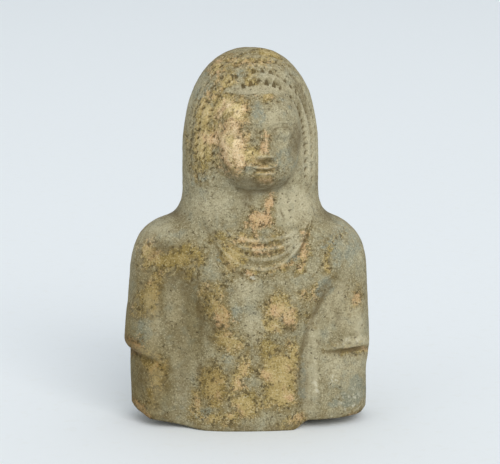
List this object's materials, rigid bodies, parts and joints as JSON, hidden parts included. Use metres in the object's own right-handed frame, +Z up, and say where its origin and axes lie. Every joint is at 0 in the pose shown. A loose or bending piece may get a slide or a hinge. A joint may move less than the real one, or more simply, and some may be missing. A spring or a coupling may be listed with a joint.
{
  "type": "funerary bust figure",
  "caption": "Small fired clay bust of a figure in a rounded wig and broad collar, arms at the sides in wide sleeves, standing on a flat underside.",
  "frame": {"origin": "middle of the flat underside, on the upright axis of the trunk and the wig", "axes": "+Z up to the crown, -Y the way the chest faces, +X to the viewer's right when seen from the front"},
  "size_m": [0.0531, 0.0316, 0.08],
  "materials": {
    "fired_clay": "matt unglazed fired clay with a grey-brown burial patina and worn ochre and orange patches"
  },
  "bodies": {
    "root": {"clay_bust": "fired_clay"}
  },
  "joints": []
}
